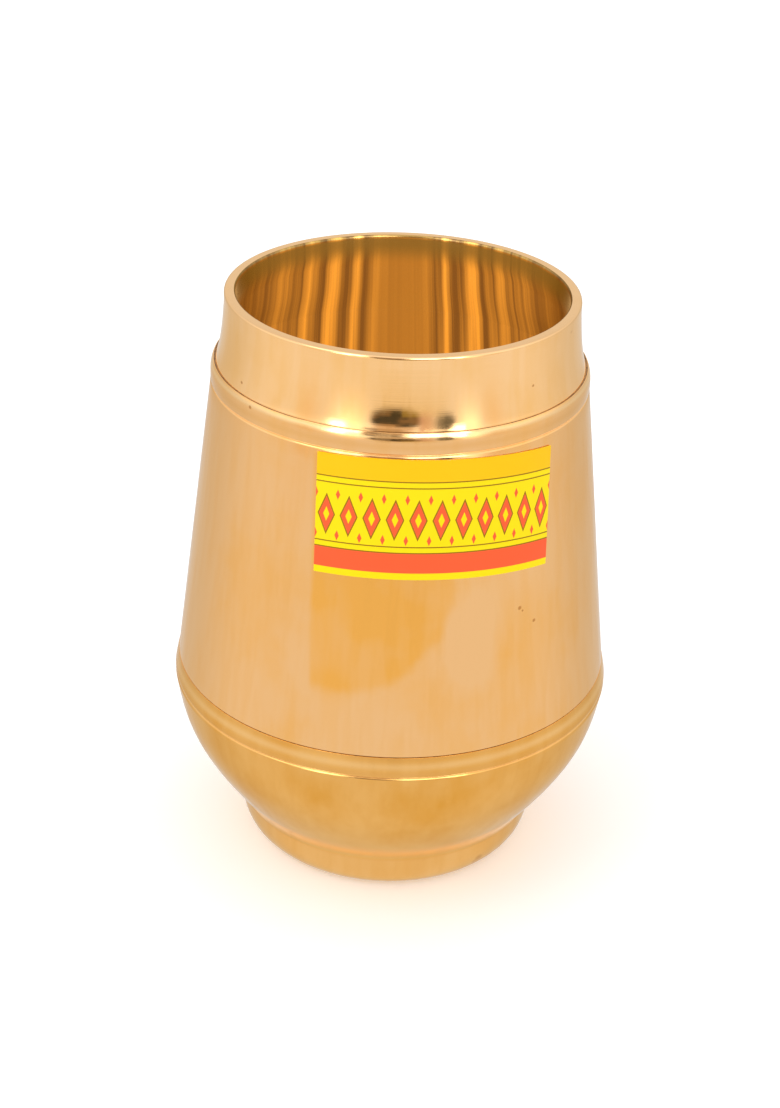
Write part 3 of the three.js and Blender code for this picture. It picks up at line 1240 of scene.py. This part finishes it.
@dataclass(frozen=True)
class Label:
    """The paper label and its adhesive, wrapped on the conical wall."""

    wall: Wall
    width: float = 39 * MM
    height: float = 19.4 * MM
    drop: float = 0.5 * MM
    bearing: float = 12.5
    skew: float = 2.0
    paper: float = 0.12 * MM
    glue: float = 0.06 * MM
    margin: float = 0.4 * MM
    columns: int = 64
    rows: int = 24

    def wrap(self, across: float, up: float, lift: float) -> Vector:
        """Puts a point of the flat label on the wall.

        Args:
            across: The distance to the right of the label's centre.
            up: The distance over the label's centre.
            lift: The distance off the wall.

        Returns:
            The point in the frame.
        """
        skew = math.radians(self.skew)
        turned_across = across * math.cos(skew) + up * math.sin(skew)
        turned_up = up * math.cos(skew) - across * math.sin(skew)
        angle = math.atan(self.wall.slope)
        radius, line_z = self.wall.top
        centre_z = line_z - self.drop - self.height / 2
        slant = (radius + (line_z - centre_z) * self.wall.slope) / math.sin(angle)
        reach = math.hypot(turned_across, slant - turned_up)
        turn = math.atan2(turned_across, slant - turned_up) / math.sin(angle)
        bearing = turn + math.radians(self.bearing)
        out = reach * math.sin(angle) + lift * math.cos(angle)
        rise = centre_z + (slant - reach) * math.cos(angle) + lift * math.sin(angle)
        return Vector((out * math.sin(bearing), -out * math.cos(bearing), rise))

    def sheet(self, name: str, margin: float, lift: float, thickness: float) -> bpy.types.Object:
        """Cuts a sheet, wraps it on the wall and gives it its thickness.

        Args:
            name: The piece's name.
            margin: How far the sheet's edge stays inside the label's.
            lift: The distance from the wall to the sheet's inner face.
            thickness: The sheet's thickness.

        Returns:
            The piece, with the flat label's UVs.
        """
        size = (self.width - 2 * margin, self.height - 2 * margin, 1)
        cut = bmesh.new()
        bmesh.ops.create_grid(cut, x_segments=self.columns, y_segments=self.rows, size=0.5)
        bmesh.ops.scale(cut, vec=size, verts=cut.verts)
        layer = cut.loops.layers.uv.new("label")
        for face in cut.faces:
            for loop in face.loops:
                flat = loop.vert.co
                loop[layer].uv = (flat.x / self.width + 0.5, flat.y / self.height + 0.5)
        for vert in cut.verts:
            vert.co = self.wrap(vert.co.x, vert.co.y, lift + thickness)
        bmesh.ops.recalc_face_normals(cut, faces=cut.faces)
        front = min(cut.faces, key=lambda face: face.calc_center_median().y)
        if front.normal.y > 0:
            bmesh.ops.reverse_faces(cut, faces=cut.faces)
        bmesh.ops.solidify(cut, geom=cut.faces, thickness=thickness)
        return piece_from(name, cut)

    def build(self) -> dict[str, bpy.types.Object]:
        """Makes the adhesive and the paper.

        Returns:
            The pieces by the node that each stands for.
        """
        gap = self.wall.seams.gap
        paper_lift = 4 * gap + self.glue
        return {
            "label_adhesive": self.sheet("glue_film", self.margin, 2 * gap, self.glue),
            "label_face": self.sheet("paper_label", 0.0, paper_lift, self.paper),
        }

    def dress(self, pieces: dict[str, bpy.types.Object], finishes: Finishes) -> None:
        """Prints the paper and gives the adhesive its film."""
        settle(pieces["label_adhesive"], "label_adhesive", "label_glue", finishes.glue)
        settle(pieces["label_face"], "label_face", "label_print", finishes.label)


# The studio


@dataclass(frozen=True)
class Card:
    """A soft-edged upright card that only the polished metal sees, beside or behind the camera."""

    name: str
    bearings: tuple[float, float]
    heights: tuple[float, float]
    colour: Color
    strength: float = 1.0
    hides: float = 1.0
    side_fade: float = 0.25
    low_fade: float = 0.25
    high_fade: float = 0.25
    mottle: Color | None = None
    spots: float = 3.0
    rounded: bool = False
    round_reach: float = 0.52
    distance: float = 0.66

    def glow(self) -> bpy.types.Material:
        """Builds the card's light, which fades towards its edges.

        Returns:
            The material.
        """
        material, shader = new_material(self.name)
        flat = shader.add("ShaderNodeUVMap", uv_map="card").outputs[0]
        place = shader.add("ShaderNodeSeparateXYZ", {0: flat}).outputs
        aside = shader.math("ABSOLUTE", shader.math("SUBTRACT", place["X"], 0.5))
        inner = 0.5 - self.side_fade
        across = shader.ramp(aside, inner, 0.5, start=self.hides, end=0.0)
        low = shader.ramp(place["Y"], 0.0, self.low_fade)
        high = shader.ramp(place["Y"], 1 - self.high_fade, 1.0, start=1.0, end=0.0)
        share = shader.math("MULTIPLY", across, shader.math("MULTIPLY", low, high))
        if self.rounded:
            centred = shader.vector("SUBTRACT", flat, (0.5, 0.5, 0.0)).outputs[0]
            reach = shader.vector("LENGTH", centred).outputs["Value"]
            edge = shader.ramp(reach, inner, self.round_reach, start=1.0, end=0.0)
            share = shader.math("MULTIPLY", share, edge)
        colour = self.colour
        if self.mottle is not None:
            spots = shader.ramp(shader.noise(flat, self.spots), low=0.42, high=0.62)
            colour = shader.blend(spots, colour, self.mottle)
        light = shader.add("ShaderNodeEmission", {"Color": colour, "Strength": self.strength})
        clear = shader.add("ShaderNodeBsdfTransparent")
        mixed = {0: share, 1: clear.outputs[0], 2: light.outputs[0]}
        shader.finish(shader.add("ShaderNodeMixShader", mixed))
        return material

    def build(self) -> bpy.types.Object:
        """Stands the card up, square to the tumbler.

        Returns:
            The card.
        """
        left, right = (math.radians(bearing) for bearing in self.bearings)
        low, high = self.heights
        width = 2 * self.distance * math.tan((right - left) / 2)
        made = bmesh.new()
        made.loops.layers.uv.new("card")
        bmesh.ops.create_grid(made, x_segments=1, y_segments=1, size=0.5, calc_uvs=True)
        upright = Matrix.Rotation(math.radians(90), 4, "X")
        out = Matrix.Translation((0, -self.distance, (low + high) / 2))
        turn = Matrix.Rotation((left + right) / 2, 4, "Z")
        size = Matrix.Diagonal((width, high - low, 1, 1))
        bmesh.ops.transform(made, matrix=turn @ out @ upright @ size, verts=made.verts)
        card = piece_from(self.name, made)
        card.data.materials.append(self.glow())
        card.visible_camera = False
        card.visible_diffuse = False
        card.visible_shadow = False
        return card


@dataclass(frozen=True)
class Studio:
    """A white floor and sky, the cards that the metal mirrors, one soft lamp and the camera.

    The sky's brightness is given from front to back, low down and high up.
    """

    floor_size: float = 8.0
    floor_colour: Color = (0.99, 0.99, 0.99, 1.0)
    floor_lift: float = 0.2
    low_sky: tuple[float, float] = (1.0, 0.76)
    high_sky: tuple[float, float] = (1.4, 1.0)
    sky_turn: tuple[float, float] = (-0.2, 0.85)
    sky_rise: tuple[float, float] = (0.0, 0.35)
    lamp_place: tuple[float, float, float] = (-0.5, -0.35, 0.9)
    lamp_size: float = 0.6
    lamp_watts: float = 1.2
    camera_place: tuple[float, float, float] = (-0.66 * MM, -305.9 * MM, 213.1 * MM)
    camera_tilt: float = 62.24
    camera_roll: float = 1.99
    lens: float = 65.57
    sensor: float = 36.0
    nearest: float = 0.01
    farthest: float = 50.0
    cards: tuple[Card, ...] = (
        Card("front_haze", (-26, 36), (-0.14, 0.09), (0.78, 0.6, 0.12, 1.0), hides=0.42,
             side_fade=0.4, low_fade=0.85, high_fade=0.15),
        Card("tent_mouth", (-21, 18), (-0.005, 0.22), (0.05, 0.045, 0.025, 1.0), hides=0.97,
             side_fade=0.2, low_fade=0.2, mottle=(0.24, 0.16, 0.08, 1.0), rounded=True),
        Card("tent_sill", (-18, 13), (0.14, 0.34), (0.62, 0.42, 0.24, 1.0), hides=0.7,
             high_fade=0.5),
        Card("tent_roof", (-25, 6), (0.2, 0.9), (0.16, 0.11, 0.05, 1.0), hides=0.85, side_fade=0.2,
             low_fade=0.12, mottle=(0.5, 0.33, 0.17, 1.0)),
        Card("tent_fold", (9, 22), (0.02, 0.32), (0.74, 0.5, 0.38, 1.0), hides=0.8, side_fade=0.4),
        Card("tent_edge", (18, 36), (0.0, 0.3), (0.1, 0.1, 0.07, 1.0), hides=0.92,
             side_fade=0.3, rounded=True),
        Card("left_glow", (-45, -13), (-0.08, 0.42), (1.0, 0.97, 0.82, 1.0), 1.8, low_fade=0.5,
             side_fade=0.45),
        Card("right_glow", (31, 52), (-0.08, 0.42), (1.0, 0.97, 0.82, 1.0), 1.8, low_fade=0.5,
             side_fade=0.45),
        Card("left_warmth", (-66, -42), (-0.14, 0.3), (1.0, 0.8, 0.5, 1.0), hides=0.55,
             side_fade=0.5, low_fade=0.5),
        Card("right_warmth", (46, 68), (-0.14, 0.3), (1.0, 0.8, 0.5, 1.0), hides=0.55,
             side_fade=0.5, low_fade=0.5),
        Card("left_strip", (-43, -21), (0.12, 0.95), (1.0, 1.0, 1.0, 1.0), 5.0, low_fade=0.12),
        Card("middle_strip", (4, 28), (0.27, 0.95), (0.94, 0.97, 1.0, 1.0), 5.0, low_fade=0.07),
        Card("right_strip", (27, 45), (0.12, 0.95), (1.0, 1.0, 1.0, 1.0), 5.0, low_fade=0.12),
    )

    def floor(self) -> None:
        """Lays the white floor, a little lifted where the camera sees it and unseen by the metal."""
        made = bmesh.new()
        bmesh.ops.create_grid(made, x_segments=1, y_segments=1, size=self.floor_size / 2)
        floor = piece_from("floor", made)
        material, shader = new_material("floor_white")
        white = shader.add("ShaderNodeBsdfDiffuse", {"Color": self.floor_colour})
        seen = shader.add("ShaderNodeLightPath").outputs["Is Camera Ray"]
        lift = shader.math("MULTIPLY", seen, self.floor_lift)
        glow = shader.add("ShaderNodeEmission", {"Strength": lift})
        shader.finish(shader.add("ShaderNodeAddShader", {0: white.outputs[0], 1: glow.outputs[0]}))
        floor.data.materials.append(material)
        floor.visible_glossy = False

    def sky(self) -> None:
        """Sets a white sky that the metal sees brighter above and dimmer low at the back."""
        world = bpy.data.worlds.new("white_sky")
        world.use_nodes = True
        shader = Shader(world.node_tree)
        towards = shader.add("ShaderNodeTexCoord").outputs["Generated"]
        place = shader.add("ShaderNodeSeparateXYZ", {0: towards}).outputs
        low = shader.ramp(place["Y"], *self.sky_turn, *self.low_sky)
        high = shader.ramp(place["Y"], *self.sky_turn, *self.high_sky)
        metal_sees = shader.between(shader.ramp(place["Z"], *self.sky_rise), low, high)
        strength = shader.between(shader.mirrored(), 1.0, metal_sees)
        sky = shader.add("ShaderNodeBackground", {"Color": (1, 1, 1, 1), "Strength": strength})
        shader.add("ShaderNodeOutputWorld", {"Surface": sky.outputs[0]})
        bpy.context.scene.world = world

    def lamp(self) -> None:
        """Hangs one soft lamp, up on the left."""
        light = bpy.data.lights.new("soft_lamp", "AREA")
        light.shape = "DISK"
        light.size = self.lamp_size
        light.energy = self.lamp_watts
        lamp = bpy.data.objects.new("soft_lamp", light)
        lamp.location = self.lamp_place
        lamp.rotation_euler = (-lamp.location).to_track_quat("-Z", "Y").to_euler()
        bpy.context.scene.collection.objects.link(lamp)

    def camera(self) -> None:
        """Sets the camera at the photograph's angle."""
        view = bpy.data.cameras.new("camera")
        view.sensor_width = self.sensor
        view.lens = self.lens
        view.clip_start = self.nearest
        view.clip_end = self.farthest
        camera = bpy.data.objects.new("camera", view)
        tilt = Matrix.Rotation(math.radians(self.camera_tilt), 4, "X")
        roll = Matrix.Rotation(math.radians(self.camera_roll), 4, "Z")
        camera.matrix_world = Matrix.Translation(self.camera_place) @ tilt @ roll
        bpy.context.scene.collection.objects.link(camera)
        bpy.context.scene.camera = camera

    def build(self) -> None:
        """Sets up the whole studio."""
        bpy.context.scene.view_settings.view_transform = "Standard"
        self.sky()
        self.floor()
        self.lamp()
        self.camera()
        for card in self.cards:
            card.build()


def main() -> None:
    """Builds and dresses the tumbler piece by piece, and then the studio."""
    logging.basicConfig(level=logging.INFO, format="%(name)s: %(message)s")
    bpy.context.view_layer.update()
    finishes = make_finishes()
    seams = Seams()
    parts = [Foot(seams), Bowl(seams), Wall(seams), Neck(seams), *braze_films(seams)]
    for part in parts:
        piece = part.build()
        part.dress(piece, finishes)
        log.info("%s has %d faces", piece.name, len(piece.data.polygons))
    label = Label(Wall(seams))
    sheets = label.build()
    label.dress(sheets, finishes)
    log.info("the label has %d sheets", len(sheets))
    Studio().build()


if __name__ == "__main__":
    main()
